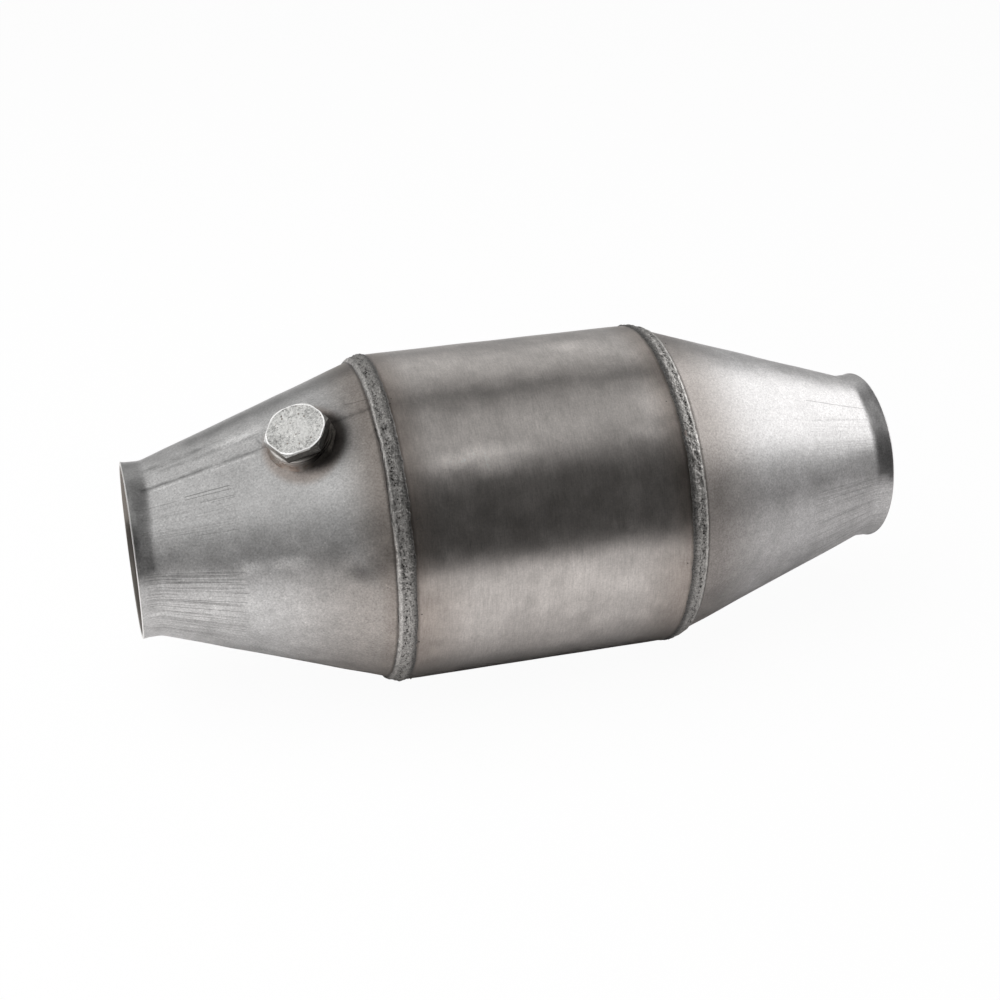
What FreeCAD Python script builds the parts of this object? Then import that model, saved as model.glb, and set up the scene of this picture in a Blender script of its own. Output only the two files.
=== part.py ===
import FreeCAD, Part

import math
import os

# A round metal-foil catalytic converter for a car exhaust. The X axis is the gas path, from the
# inlet at -X to the outlet at +X, with the origin on that axis at the middle of the casing.
# +Z is up, and the sensor port sits on the inlet cone, near the top and a little to the front.
# Lengths are in millimetres and angles in degrees.

# Casing, the straight tube round the catalyst
casing_radius = 65.0
casing_wall = 1.5
casing_length = 112.0

# Cones, pressed from sheet, with a skirt inside the casing and a collar for the pipe
cone_wall = 1.2
cone_half_angle = 18.8
skirt_depth = 6.0
skirt_reach = 2.4
skirt_clearance = 0.02
pipe_bore_radius = 32.8
collar_length = 7.5
collar_bend_radius = 10.0
flare_length = 2.4
flare_rise = 0.35

# Weld beads between the casing and the cones
bead_on_casing = 2.2
bead_on_cone = 2.5
bead_crown = 1.0

# Sensor port: boss, the weld round it, sealing ring and hexagon plug
boss_setback = 28.6
boss_clock_angle = 23.2
boss_radius = 12.0
boss_height = 8.0
boss_stand = 1.9
boss_clearance = 0.02
boss_weld_leg = 1.2
thread_radius = 9.0
thread_clearance = 0.05
ring_radius = 12.0
ring_thickness = 1.3
ring_clearance = 0.1
head_across_flats = 22.0
head_height = 4.5
head_bevel_width = 1.2
head_bevel_angle = 37.0
head_turn = 2.1
shank_length = 9.0
shank_bevel = 1.0

# Catalyst: a smooth and a corrugated foil wound together, then brazed in the casing
matrix_setback = 5.0
foil_thickness = 0.2
turn_pitch = 3.6
core_radius = 2.0
wave_length = 8.4
least_wave_height = 1.0
braze_film = 0.01
largest_smooth_turn = 20.0
largest_wave_turn = 22.5

# Sizes that follow from the ones above
casing_end = casing_length / 2
casing_bore = casing_radius - casing_wall
skirt_radius = casing_bore - skirt_clearance
neck_radius = pipe_bore_radius + cone_wall
cone_slope = math.tan(math.radians(cone_half_angle))
cone_start = casing_end + skirt_reach
cone_end = cone_start + (skirt_radius - neck_radius) / cone_slope
rim_station = cone_end + collar_length
boss_station = cone_start + boss_setback
boss_weld_bevel = boss_weld_leg * 2 / 3
head_corner_radius = head_across_flats / 2 / math.cos(math.radians(30))
head_face_radius = head_corner_radius - head_bevel_width
matrix_radius = casing_bore - braze_film
matrix_length = casing_length - 2 * (skirt_depth + matrix_setback)

TURN = 360.0


def point(station, radius):
    """A point of a lengthwise section, at a distance along X and a distance from the X axis."""
    return FreeCAD.Vector(station, 0, radius)


def polar(radius, angle):
    """A point across the axis, at an angle about X measured from +Y towards +Z."""
    turn = math.radians(angle)
    return FreeCAD.Vector(0, radius * math.cos(turn), radius * math.sin(turn))


def revolved(edges):
    """The solid that a closed section makes when it turns about the X axis."""
    section = Part.Face(Part.Wire(edges))
    return section.revolve(FreeCAD.Vector(0, 0, 0), FreeCAD.Vector(1, 0, 0), TURN)


def outline(points):
    """Straight edges through the points, closed back to the first."""
    return Part.makePolygon(list(points) + [points[0]]).Edges


def mirrored(solid):
    """The same solid at the other end of the casing."""
    return solid.mirror(FreeCAD.Vector(0, 0, 0), FreeCAD.Vector(1, 0, 0))


def make_casing():
    """The tube that carries the catalyst, open at both ends."""
    corners = [
        point(-casing_end, casing_bore),
        point(casing_end, casing_bore),
        point(casing_end, casing_radius),
        point(-casing_end, casing_radius),
    ]
    return revolved(outline(corners))


def cone_side(depth):
    """One side of the cone's sheet, from skirt to rim, at a depth below its outer side.

    The sheet keeps its thickness round each bend, so a bend's corner moves back along X as the
    depth grows, and its arc grows by the same depth.
    """
    half_bend = math.radians(cone_half_angle) / 2
    flare = math.atan2(flare_rise, flare_length)
    skirt = skirt_radius - depth
    neck = neck_radius - depth
    start = cone_start - depth * math.tan(half_bend)
    end = cone_end - depth * math.tan(half_bend)
    arc_radius = collar_bend_radius + depth
    reach = arc_radius * math.tan(half_bend)
    sagitta = arc_radius * (1 / math.cos(half_bend) - 1)
    flare_start = rim_station - flare_length + depth * math.tan(flare / 2)
    rim = neck + (rim_station - flare_start) * math.tan(flare)
    before = point(end - reach * math.cos(2 * half_bend), neck + reach * math.sin(2 * half_bend))
    middle = point(end + sagitta * math.sin(half_bend), neck + sagitta * math.cos(half_bend))
    after = point(end + reach, neck)
    edges = [
        Part.LineSegment(point(casing_end - skirt_depth, skirt), point(start, skirt)).toShape(),
        Part.LineSegment(point(start, skirt), before).toShape(),
        Part.Arc(before, middle, after).toShape(),
        Part.LineSegment(after, point(flare_start, neck)).toShape(),
        Part.LineSegment(point(flare_start, neck), point(rim_station, rim)).toShape(),
    ]
    return edges


def first_point(edges):
    """Where a row of edges starts."""
    return edges[0].firstVertex().Point


def last_point(edges):
    """Where a row of edges ends."""
    return edges[-1].lastVertex().Point


def make_cone():
    """The outlet cone: skirt, cone, collar and slightly flared rim, all of one sheet."""
    outer = cone_side(0.0)
    inner = cone_side(cone_wall)
    skirt_edge = Part.LineSegment(first_point(inner), first_point(outer)).toShape()
    rim_edge = Part.LineSegment(last_point(outer), last_point(inner)).toShape()
    return revolved([skirt_edge] + outer + [rim_edge] + inner[::-1])


def make_weld_bead():
    """The bead in the corner between the casing's end and the cone, with a rounded crown."""
    casing_toe = point(casing_end - bead_on_casing, casing_radius)
    casing_corner = point(casing_end, casing_radius)
    casing_root = point(casing_end, skirt_radius)
    cone_corner = point(cone_start, skirt_radius)
    cone_toe = point(cone_start + bead_on_cone, skirt_radius - bead_on_cone * cone_slope)
    across = cone_toe - casing_toe
    outward = FreeCAD.Vector(-across.z, 0, across.x).normalize()
    crown = (casing_toe + cone_toe) * 0.5 + outward * bead_crown
    corners = [cone_toe, cone_corner, casing_root, casing_corner, casing_toe]
    seat = Part.makePolygon(corners).Edges
    return revolved(seat + [Part.Arc(casing_toe, crown, cone_toe).toShape()])


def port_placement():
    """Where the sensor port stands: on the inlet cone, square to it, with its own X up the cone."""
    around = polar(1.0, 90.0 + boss_clock_angle)
    angle = math.radians(cone_half_angle)
    station = cone_start - boss_station
    along = FreeCAD.Vector(math.cos(angle), 0, 0) + around * math.sin(angle)
    outward = FreeCAD.Vector(-math.sin(angle), 0, 0) + around * math.cos(angle)
    foot = FreeCAD.Vector(-boss_station, 0, 0) + around * (skirt_radius + station * cone_slope)
    turn = FreeCAD.Rotation(along, outward.cross(along), outward, "ZXY")
    return FreeCAD.Placement(foot, turn)


def port_cylinder(radius, low, high):
    """A round bar about the port's axis, between two heights over the cone's outer side."""
    bar = Part.makeCylinder(radius, high - low, FreeCAD.Vector(0, 0, low))
    bar.Placement = port_placement().multiply(bar.Placement)
    return bar


def port_solid(solid):
    """A solid drawn about the Z axis, moved onto the port's axis."""
    moved = solid.copy()
    moved.Placement = port_placement().multiply(moved.Placement)
    return moved


def make_inlet_cone():
    """The outlet cone's twin, with a round hole for the sensor boss."""
    hole = port_cylinder(boss_radius + boss_clearance, boss_stand - boss_height, boss_stand)
    return mirrored(make_cone()).cut(hole)


def make_sensor_boss():
    """The turned boss: a thick ring with the sensor's thread through it."""
    foot = boss_stand - boss_height
    body = port_cylinder(boss_radius, foot, boss_stand)
    return body.cut(port_cylinder(thread_radius + thread_clearance, foot, boss_stand))


def make_boss_weld():
    """The small weld round the boss, which follows the cone."""
    widest = boss_radius + boss_weld_leg
    lift = boss_weld_leg / math.cos(math.radians(cone_half_angle))
    corners = [
        point(-cone_start, skirt_radius),
        point(-cone_end, neck_radius),
        point(-cone_end, neck_radius + lift),
        point(-cone_start, skirt_radius + lift),
    ]
    layer = revolved(outline(corners))
    ring = layer.common(port_cylinder(widest, -boss_radius, boss_radius))
    ring = ring.cut(port_cylinder(boss_radius, -boss_radius, boss_radius)).Solids[0]
    top_edges = [edge for edge in ring.Edges if height_over_cone(edge) > lift / 2]
    return ring.makeChamfer(boss_weld_bevel, [max(top_edges, key=lambda edge: edge.Length)])


def height_over_cone(edge):
    """How much farther from the X axis an edge starts than the inlet cone's outer side."""
    spot = edge.valueAt(edge.FirstParameter)
    return math.hypot(spot.y, spot.z) - skirt_radius - (spot.x + cone_start) * cone_slope


def make_sealing_ring():
    """The flat ring between the boss and the plug's head."""
    top = boss_stand + ring_thickness
    body = port_cylinder(ring_radius, boss_stand, top)
    return body.cut(port_cylinder(thread_radius + ring_clearance, boss_stand, top))


def make_port_plug():
    """The plug: a flat hexagon head with rounded-off corners, on a threaded shank."""
    underside = boss_stand + ring_thickness
    corners = []
    for corner in range(6):
        angle = math.radians(head_turn + 60 * corner)
        spot = FreeCAD.Vector(math.cos(angle), math.sin(angle), 0) * head_corner_radius
        corners.append(spot + FreeCAD.Vector(0, 0, underside))
    prism = Part.Face(Part.Wire(outline(corners))).extrude(FreeCAD.Vector(0, 0, head_height))
    spread = head_height / math.tan(math.radians(head_bevel_angle))
    bevel = Part.makeCone(
        head_face_radius + spread, head_face_radius, head_height, FreeCAD.Vector(0, 0, underside)
    )
    head = prism.common(bevel)
    tip = underside - shank_length
    shank = Part.makeCylinder(
        thread_radius, shank_length - shank_bevel, FreeCAD.Vector(0, 0, tip + shank_bevel)
    )
    nose = Part.makeCone(
        thread_radius - shank_bevel, thread_radius, shank_bevel, FreeCAD.Vector(0, 0, tip)
    )
    return port_solid(head.fuse([shank, nose]).removeSplitter())


def smooth_foil_radius(turns):
    """Mid radius of the smooth foil after so many turns. The last turn lies on the casing."""
    return min(core_radius + turn_pitch * turns, matrix_radius - foil_thickness / 2)


def edge_turns():
    """How many turns the smooth foil makes before it reaches the casing."""
    return (matrix_radius - foil_thickness / 2 - core_radius) / turn_pitch


def smooth_foil_marks():
    """The bends of the smooth foil, in turns from its inner end."""
    last = edge_turns() + 1 - 2 * foil_thickness / turn_pitch
    marks = [0.0]
    while marks[-1] < last:
        radius = smooth_foil_radius(marks[-1])
        step = min(largest_smooth_turn, math.degrees(wave_length / radius)) / TURN
        marks.append(min(marks[-1] + step, last))
    if marks[-1] - marks[-2] < 0.3 * (marks[-2] - marks[-3]):
        del marks[-2]
    return marks


def chord_radius(marks, turns, offset):
    """Distance from the axis to a side of the smooth foil, between two of its bends."""
    after = next(index for index in range(1, len(marks)) if marks[index] >= turns)
    low, high = marks[after - 1], marks[after]
    low_radius = smooth_foil_radius(low) + offset
    high_radius = smooth_foil_radius(high) + offset
    whole = math.sin(2 * math.pi * (high - low))
    to_low = math.sin(2 * math.pi * (turns - low))
    to_high = math.sin(2 * math.pi * (high - turns))
    return low_radius * high_radius * whole / (low_radius * to_low + high_radius * to_high)


def ribbon(outer_side, inner_side):
    """The foil between two rows of (turns, radius), as long as the matrix."""
    corners = []
    for turns, radius in outer_side + inner_side[::-1]:
        corners.append(polar(radius, TURN * turns) + FreeCAD.Vector(-matrix_length / 2, 0, 0))
    section = Part.Face(Part.Wire(outline(corners)))
    return section.extrude(FreeCAD.Vector(matrix_length, 0, 0))


def make_smooth_foil():
    """The smooth foil, wound from the core out to the casing."""
    half = foil_thickness / 2
    marks = smooth_foil_marks()
    outer_side = [(turns, smooth_foil_radius(turns) + half) for turns in marks]
    inner_side = [(turns, smooth_foil_radius(turns) - half) for turns in marks]
    return ribbon(outer_side, inner_side)


def make_corrugated_foil():
    """The corrugated foil, which runs to and fro between each turn of the smooth one and the next.

    Its waves touch the smooth foil by turns inside and outside, and get lower where the last
    turn closes onto the one below.
    """
    marks = smooth_foil_marks()
    half = foil_thickness / 2
    outer_side = []
    inner_side = []
    turns = 0.0
    outward = False
    while turns + 1 < marks[-1]:
        low = chord_radius(marks, turns, half) + braze_film
        high = chord_radius(marks, turns + 1, -half) - braze_film
        if high - low < least_wave_height:
            break
        middle = (low + high) / 2
        step = min(largest_wave_turn, math.degrees(wave_length / 2 / middle)) / TURN
        run = 2 * math.pi * middle * step
        wall = foil_thickness * math.hypot(1, (high - low) / run)
        outer_side.append((turns, high if outward else low + wall))
        inner_side.append((turns, high - wall if outward else low))
        turns += step
        outward = not outward
    return ribbon(outer_side, inner_side)


def build():
    """Every piece of the converter, by name."""
    cone = make_cone()
    bead = make_weld_bead()
    return {
        "casing": make_casing(),
        "inlet_cone": make_inlet_cone(),
        "outlet_cone": cone,
        "inlet_weld": mirrored(bead),
        "outlet_weld": bead,
        "sensor_boss": make_sensor_boss(),
        "boss_weld": make_boss_weld(),
        "sealing_ring": make_sealing_ring(),
        "port_plug": make_port_plug(),
        "smooth_foil": make_smooth_foil(),
        "corrugated_foil": make_corrugated_foil(),
    }


os.makedirs("parts", exist_ok=True)
for name, shape in build().items():
    if not shape.isValid() or len(shape.Solids) != 1:
        raise ValueError(f"{name} did not come out as one valid solid")
    shape.exportStep(f"parts/{name}.step")
    print(name, round(shape.Volume), "mm3")
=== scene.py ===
import logging
import math
from collections.abc import Sequence
from dataclasses import dataclass
from enum import Enum

import bmesh
import bpy
import numpy as np
from mathutils import Matrix, Vector


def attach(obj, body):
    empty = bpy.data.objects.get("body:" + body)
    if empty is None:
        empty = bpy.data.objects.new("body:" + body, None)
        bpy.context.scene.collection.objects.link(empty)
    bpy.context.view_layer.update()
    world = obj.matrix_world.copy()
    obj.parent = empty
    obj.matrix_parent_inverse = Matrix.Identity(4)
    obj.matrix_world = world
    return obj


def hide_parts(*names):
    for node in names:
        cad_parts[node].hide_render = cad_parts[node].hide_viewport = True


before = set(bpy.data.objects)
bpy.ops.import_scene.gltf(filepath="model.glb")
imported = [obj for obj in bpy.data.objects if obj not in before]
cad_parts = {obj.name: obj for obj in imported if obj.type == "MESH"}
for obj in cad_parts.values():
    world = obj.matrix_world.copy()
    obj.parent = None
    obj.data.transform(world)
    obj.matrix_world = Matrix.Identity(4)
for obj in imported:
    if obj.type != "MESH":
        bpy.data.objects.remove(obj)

LOG = logging.getLogger("converter")
MM = 0.001
FULL_TURN = 2 * math.pi
Triple = tuple[float, float, float]
Colour = Triple


# Sizes, in millimetres, as in the solids


class End(Enum):
    """The converter's two ends, by the sign of X."""

    INLET = -1
    OUTLET = 1


@dataclass(frozen=True)
class Sizes:
    """The converter's sizes, which every sub-assembly shares."""

    casing_radius: float = 65.0
    casing_wall: float = 1.5
    casing_end: float = 56.0
    cone_wall: float = 1.2
    cone_angle: float = math.radians(18.8)
    cone_start: float = 58.4
    skirt_radius: float = 63.48
    skirt_end: float = 50.0
    neck_radius: float = 34.0
    collar_length: float = 7.5
    collar_bend_radius: float = 10.0
    flare_length: float = 2.4
    flare_rise: float = 0.35
    bead_on_casing: float = 2.2
    bead_on_cone: float = 2.5
    boss_setback: float = 28.6
    boss_clock: float = math.radians(23.2)

    @property
    def cone_end(self) -> float:
        """Where the cone's line meets the collar's."""
        return self.cone_start + (self.skirt_radius - self.neck_radius) / math.tan(self.cone_angle)

    @property
    def rim(self) -> float:
        """The station of the collar's open end."""
        return self.cone_end + self.collar_length

    def cone_radius(self, station: np.ndarray | float) -> np.ndarray | float:
        """The cone's outer radius at a distance from the casing's middle."""
        return self.skirt_radius - (station - self.cone_start) * math.tan(self.cone_angle)


SIZES = Sizes()


# Meshes


def about_axis(station: np.ndarray, radius: np.ndarray, clock: np.ndarray) -> np.ndarray:
    """Points about the gas path, with the clock angle taken from +Z towards -Y.

    Args:
        station: Distances along X.
        radius: Distances from the X axis.
        clock: Angles about the X axis.

    Returns:
        The points, with X, Y and Z along the last axis.
    """
    station, radius, clock = np.broadcast_arrays(station, radius, clock)
    return np.stack([station, -radius * np.sin(clock), radius * np.cos(clock)], axis=-1)


def grid_faces(rows: int, columns: int, close_rows: bool, close_columns: bool) -> np.ndarray:
    """The four-sided faces of a grid of points.

    Args:
        rows: How many rows of points the grid has.
        columns: How many points a row has.
        close_rows: Whether the last row joins the first.
        close_columns: Whether each row closes on itself.

    Returns:
        Point numbers, four to a face.
    """
    row = np.arange(rows if close_rows else rows - 1)[:, None]
    column = np.arange(columns if close_columns else columns - 1)[None, :]
    next_row = (row + 1) % rows
    next_column = (column + 1) % columns
    corners = [
        row * columns + column,
        row * columns + next_column,
        next_row * columns + next_column,
        next_row * columns + column,
    ]
    return np.stack(np.broadcast_arrays(*corners), axis=-1).reshape(-1, 4)


def make_piece(name: str, points: np.ndarray, faces: Sequence, sharp: float) -> bpy.types.Object:
    """A smooth-shaded mesh object from points in millimetres.

    Args:
        name: The piece's name.
        points: Its points, in millimetres.
        faces: Point numbers of each face.
        sharp: The angle over which an edge is sharp, in degrees.

    Returns:
        The new object, with its normals outward.
    """
    mesh = bpy.data.meshes.new(name)
    mesh.from_pydata((points * MM).tolist(), [], [tuple(int(i) for i in face) for face in faces])
    work = bmesh.new()
    work.from_mesh(mesh)
    bmesh.ops.recalc_face_normals(work, faces=work.faces)
    work.to_mesh(mesh)
    work.free()
    mesh.shade_smooth()
    mesh.set_sharp_from_angle(angle=math.radians(sharp))
    piece = bpy.data.objects.new(name, mesh)
    bpy.context.scene.collection.objects.link(piece)
    return piece


def make_ring(name: str, points: np.ndarray, sharp: float = 35.0) -> bpy.types.Object:
    """A closed ring-like piece from a grid whose rows and columns both close.

    Args:
        name: The piece's name.
        points: A grid of points, section by turn, in millimetres.
        sharp: The angle over which an edge is sharp, in degrees.

    Returns:
        The new object.
    """
    faces = grid_faces(points.shape[0], points.shape[1], True, True)
    return make_piece(name, points.reshape(-1, 3), faces, sharp)


def make_capped(name: str, points: np.ndarray, sharp: float = 35.0) -> bpy.types.Object:
    """A solid turned piece from rings of points, with a centre point over each end.

    Args:
        name: The piece's name.
        points: Rings of points from one end to the other, in millimetres.
        sharp: The angle over which an edge is sharp, in degrees.

    Returns:
        The new object.
    """
    rings, turn = points.shape[:2]
    flat = points.reshape(-1, 3)
    faces = [tuple(face) for face in grid_faces(rings, turn, False, True)]
    first, last = len(flat), len(flat) + 1
    for spot in range(turn):
        after = (spot + 1) % turn
        faces.append((first, after, spot))
        faces.append((last, (rings - 1) * turn + spot, (rings - 1) * turn + after))
    flat = np.vstack([flat, points[0].mean(axis=0), points[-1].mean(axis=0)])
    return make_piece(name, flat, faces, sharp)


@dataclass(frozen=True)
class Ripple:
    """A smooth random height over a round surface, which closes on itself round the axis."""

    seed: int
    height: float
    longest: float
    shortest: float
    waves: int = 24
    radius: float = 55.0

    def __call__(self, station: np.ndarray, clock: np.ndarray) -> np.ndarray:
        """The height at stations and clock angles.

        Args:
            station: Distances along X, in millimetres.
            clock: Angles about the X axis.

        Returns:
            Heights in millimetres, about as often up as down.
        """
        draw = np.random.default_rng(self.seed)
        total = np.zeros(np.broadcast(station, clock).shape)
        for _ in range(self.waves):
            length = self.shortest * (self.longest / self.shortest) ** draw.random()
            heading = draw.random() * FULL_TURN
            along = FULL_TURN / length * math.cos(heading)
            about = round(FULL_TURN / length * math.sin(heading) * self.radius)
            total += np.sin(along * station + about * clock + draw.random() * FULL_TURN)
        return total * self.height / math.sqrt(self.waves / 2)


def fade(value: np.ndarray, start: float, end: float) -> np.ndarray:
    """A smooth rise from 0 at start to 1 at end."""
    part = np.clip((value - start) / (end - start), 0.0, 1.0)
    return part * part * (3 - 2 * part)


# Shader maths


class Socket:
    """An output of a shader node, for use in Python expressions on numbers."""

    def __init__(self, board: "Board", link: bpy.types.NodeSocket) -> None:
        """Wraps an output of one of the board's nodes."""
        self.board = board
        self.link = link

    def _math(self, operation: str, *terms: "Socket | float") -> "Socket":
        """The output of a Math node on the terms."""
        return self.board.node("ShaderNodeMath", {"operation": operation}, dict(enumerate(terms)))

    def __add__(self, other: "Socket | float") -> "Socket":
        """The sum."""
        return self._math("ADD", self, other)

    __radd__ = __add__

    def __sub__(self, other: "Socket | float") -> "Socket":
        """The difference."""
        return self._math("SUBTRACT", self, other)

    def __rsub__(self, other: "Socket | float") -> "Socket":
        """The difference, with this socket taken away."""
        return self._math("SUBTRACT", other, self)

    def __mul__(self, other: "Socket | float") -> "Socket":
        """The product."""
        return self._math("MULTIPLY", self, other)

    __rmul__ = __mul__

    def __truediv__(self, other: "Socket | float") -> "Socket":
        """The quotient."""
        return self._math("DIVIDE", self, other)

    def __neg__(self) -> "Socket":
        """The negative."""
        return self._math("MULTIPLY", self, -1.0)

    def __abs__(self) -> "Socket":
        """The size without its sign."""
        return self._math("ABSOLUTE", self)

    def least(self, other: "Socket | float") -> "Socket":
        """The smaller of the two."""
        return self._math("MINIMUM", self, other)

    def most(self, other: "Socket | float") -> "Socket":
        """The larger of the two."""
        return self._math("MAXIMUM", self, other)

    def root(self) -> "Socket":
        """The square root."""
        return self._math("SQRT", self)

    def clock(self, other: "Socket") -> "Socket":
        """The angle whose tangent is this over the other."""
        return self._math("ARCTAN2", self, other)

    def step(self, low: float, high: float) -> "Socket":
        """A smooth step from 0 at low to 1 at high."""
        inputs = {"Value": self, "From Min": low, "From Max": high}
        return self.board.node("ShaderNodeMapRange", {"interpolation_type": "SMOOTHSTEP"}, inputs)

    def output(self, name: str) -> "Socket":
        """Another output of the same node."""
        return Socket(self.board, self.link.node.outputs[name])


class Board:
    """A node tree to which shader nodes are added."""

    def __init__(self, tree: bpy.types.NodeTree) -> None:
        """Starts on a node tree, which it empties."""
        self.tree = tree
        tree.nodes.clear()

    def node(self, kind: str, settings: dict, inputs: dict, output: int | str = 0) -> Socket | None:
        """Adds a node.

        Args:
            kind: The node's type.
            settings: Its settings, by name.
            inputs: Values or sockets for its inputs, by name or number.
            output: Which output to give back.

        Returns:
            The output, wrapped, or None where the node has no outputs.
        """
        made = self.tree.nodes.new(kind)
        for name, value in settings.items():
            setattr(made, name, value)
        for name, value in inputs.items():
            if isinstance(value, Socket):
                self.tree.links.new(value.link, made.inputs[name])
            else:
                made.inputs[name].default_value = value
        return Socket(self, made.outputs[output]) if made.outputs else None

    def place(self) -> Socket:
        """The point on the surface, in millimetres, as a vector."""
        spot = self.node("ShaderNodeTexCoord", {}, {}, "Object")
        return self.scaled(spot, (1 / MM,) * 3)

    def scaled(self, vector: Socket, factors: Triple) -> Socket:
        """The vector with each component multiplied by its factor."""
        return self.node("ShaderNodeVectorMath", {"operation": "MULTIPLY"}, {0: vector, 1: factors})

    def dot(self, vector: Socket, other: Socket | Triple) -> Socket:
        """The dot product of a vector socket and another vector."""
        settings = {"operation": "DOT_PRODUCT"}
        return self.node("ShaderNodeVectorMath", settings, {0: vector, 1: other}, "Value")

    def away(self, vector: Socket, origin: Triple) -> Socket:
        """The vector as seen from an origin of its own."""
        return self.node("ShaderNodeVectorMath", {"operation": "SUBTRACT"}, {0: vector, 1: origin})

    def parts(self, vector: Socket) -> tuple[Socket, Socket, Socket]:
        """The three components of a vector."""
        first = self.node("ShaderNodeSeparateXYZ", {}, {0: vector})
        return first, first.output("Y"), first.output("Z")

    def joined(self, x: Socket | float, y: Socket | float, z: Socket | float) -> Socket:
        """A vector of three numbers."""
        return self.node("ShaderNodeCombineXYZ", {}, {0: x, 1: y, 2: z})

    def noise(self, vector: Socket, size: float, detail: float = 2.0, rough: float = 0.5) -> Socket:
        """Cloudy noise about 0.5, with features of about the size given."""
        inputs = {"Vector": vector, "Scale": 1 / size, "Detail": detail, "Roughness": rough}
        return self.node("ShaderNodeTexNoise", {}, inputs)

    def cells(self, vector: Socket, size: float, jitter: float = 1.0) -> Socket:
        """The distance to the nearest of scattered points, in cells of the size given."""
        inputs = {"Vector": vector, "Scale": 1 / size, "Randomness": jitter}
        return self.node("ShaderNodeTexVoronoi", {}, inputs)

    def mixed(self, factor: Socket | float, first: Socket | Colour, second: Socket | Colour) -> Socket:
        """A colour between two colours.

        Args:
            factor: How much of the second colour is in it, from 0 to 1.
            first: The colour at 0.
            second: The colour at 1.

        Returns:
            The mixed colour.
        """
        ends = [c if isinstance(c, Socket) else (*c, 1.0) for c in (first, second)]
        settings = {"data_type": "RGBA"}
        return self.node("ShaderNodeMix", settings, {0: factor, 6: ends[0], 7: ends[1]}, 2)

    def shaded(self, colour: Socket | Colour, factor: Socket) -> Socket:
        """A colour made darker or lighter.

        Args:
            colour: The colour.
            factor: What its three parts are multiplied by.

        Returns:
            The new colour.
        """
        ends = colour if isinstance(colour, Socket) else (*colour, 1.0)
        settings = {"data_type": "RGBA", "blend_type": "MULTIPLY"}
        grey = self.joined(factor, factor, factor)
        return self.node("ShaderNodeMix", settings, {0: 1.0, 6: ends, 7: grey}, 2)

    def bump(self, height: Socket, depth: float, below: Socket | None = None) -> Socket:
        """A normal from a height.

        Args:
            height: The height, in units of the depth.
            depth: How deep one unit is, in millimetres.
            below: The normal that the bump is laid over.

        Returns:
            The normal.
        """
        inputs = {"Height": height, "Distance": depth * MM, "Strength": 1.0}
        if below is not None:
            inputs["Normal"] = below
        return self.node("ShaderNodeBump", {}, inputs)

    def metal(
        self, colour: Socket, rough: Socket | float, normal: Socket, metallic: Socket | float = 1.0
    ) -> None:
        """Ends the board in a metal, bare unless its metallic part is less than 1.

        Args:
            colour: The metal's colour.
            rough: Its roughness.
            normal: Its bumped normal.
            metallic: How far it is bare metal.
        """
        inputs = {"Base Color": colour, "Metallic": metallic, "Roughness": rough, "Normal": normal}
        surface = self.node("ShaderNodeBsdfPrincipled", {}, inputs)
        self.node("ShaderNodeOutputMaterial", {}, {"Surface": surface})


def new_board(name: str) -> tuple[bpy.types.Material, Board]:
    """Starts a material.

    Args:
        name: The material's name.

    Returns:
        The new material and the board of its nodes.
    """
    material = bpy.data.materials.new(name)
    material.use_nodes = True
    return material, Board(material.node_tree)


# Finishes


# Colour and reach of the painted shade on the port's side away from the light.
PAINTED_SHADE: Colour = (0.05, 0.045, 0.04)
PAINTED_SHADE_REACH = 10.5
LEAST_ROUGH = 0.29


@dataclass(frozen=True)
class ScratchOrShadeBand:
    """A line on a cone, fine for a scratch or broad for a band of painted shade, between two points given
    by distance from the middle and clock angle.
    """

    start: tuple[float, float]
    end: tuple[float, float]
    width: float
    depth: float

    def mask(self, reach: Socket, arc: Socket, radius: float) -> Socket:
        """How much of a point lies in the line.

        Args:
            reach: Distance from the casing's middle, in millimetres.
            arc: Distance round the axis at a middle radius, in millimetres.
            radius: The radius at which arcs are measured.

        Returns:
            A socket from 0 to the line's depth.
        """
        x0, y0 = self.start[0], math.radians(self.start[1]) * radius
        x1, y1 = self.end[0], math.radians(self.end[1]) * radius
        dx, dy = x1 - x0, y1 - y0
        length = math.hypot(dx, dy)
        along = ((reach - x0) * dx + (arc - y0) * dy) / length**2
        held = along.most(0.0).least(1.0)
        off_x = reach - x0 - held * dx
        off_y = arc - y0 - held * dy
        gap = (off_x * off_x + off_y * off_y).root()
        return gap.step(self.width, 0.0) * self.depth


@dataclass(frozen=True)
class StainOrLightPatch:
    """A soft round patch, darker than its surroundings, or lighter where its depth is negative: a real heat
    tint in the cones' scorches, and painted shade or a painted highlight elsewhere.
    """

    middle: tuple[float, float]
    size: tuple[float, float]
    blur: float
    depth: float

    def mask(self, reach: Socket, arc: Socket, radius: float) -> Socket:
        """How much darker a point is, as a part of its brightness.

        Args:
            reach: Distance along the axis, in millimetres.
            arc: Distance round the axis at a middle radius, in millimetres.
            radius: The radius at which arcs are measured.

        Returns:
            A socket from 0 to the patch's depth.
        """
        along = (reach - self.middle[0]) / self.size[0]
        across = (arc - math.radians(self.middle[1]) * radius) / self.size[1]
        away = (along * along + across * across).root()
        return away.step(1 + self.blur, 1 - self.blur) * self.depth


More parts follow.
